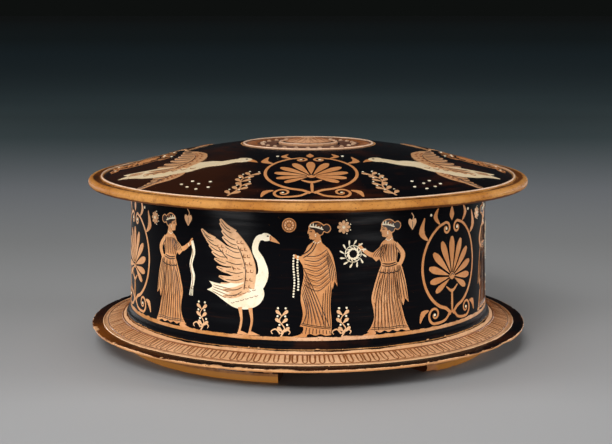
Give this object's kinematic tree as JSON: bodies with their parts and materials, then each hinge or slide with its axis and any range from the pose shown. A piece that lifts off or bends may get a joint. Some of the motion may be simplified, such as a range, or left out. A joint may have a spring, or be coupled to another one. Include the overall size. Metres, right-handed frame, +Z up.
{
  "type": "lidded pottery box",
  "caption": "Low round pottery box on curved feet, with a straight wall, a wide base flange and a shallow domed lid with a rolled rim that lifts straight off.",
  "frame": {"origin": "on the wheel axis, at the level that the feet stand on", "axes": "+Z up along the wheel axis, -Y towards the front, where one gap between the feet shows"},
  "size_m": [0.23, 0.23, 0.1072],
  "materials": {
    "black_gloss": "dark iron-rich slip, burnished and fired to a soft gloss",
    "orange_clay": "fired orange clay, smoothed, with fine speckle and wear",
    "cream_slip": "matt cream slip over raised clay"
  },
  "bodies": {
    "box": {"body_wall": "black_gloss", "floor_disc": "black_gloss", "base_flange": "orange_clay", "base_moulding": "black_gloss", "foot_front_left": "orange_clay", "foot_right": "orange_clay", "foot_rear": "orange_clay"},
    "lid": {"lid_dome": "black_gloss", "lid_rim": "orange_clay", "lid_flange": "orange_clay", "medallion_disc": "orange_clay", "medallion_boss": "orange_clay", "medallion_pellets": "cream_slip"}
  },
  "joints": [
    {"name": "lid_lift", "type": "slide", "parent": "box", "child": "lid", "axis": [0, 0, 1], "range_m": [0, 0.15]}
  ]
}
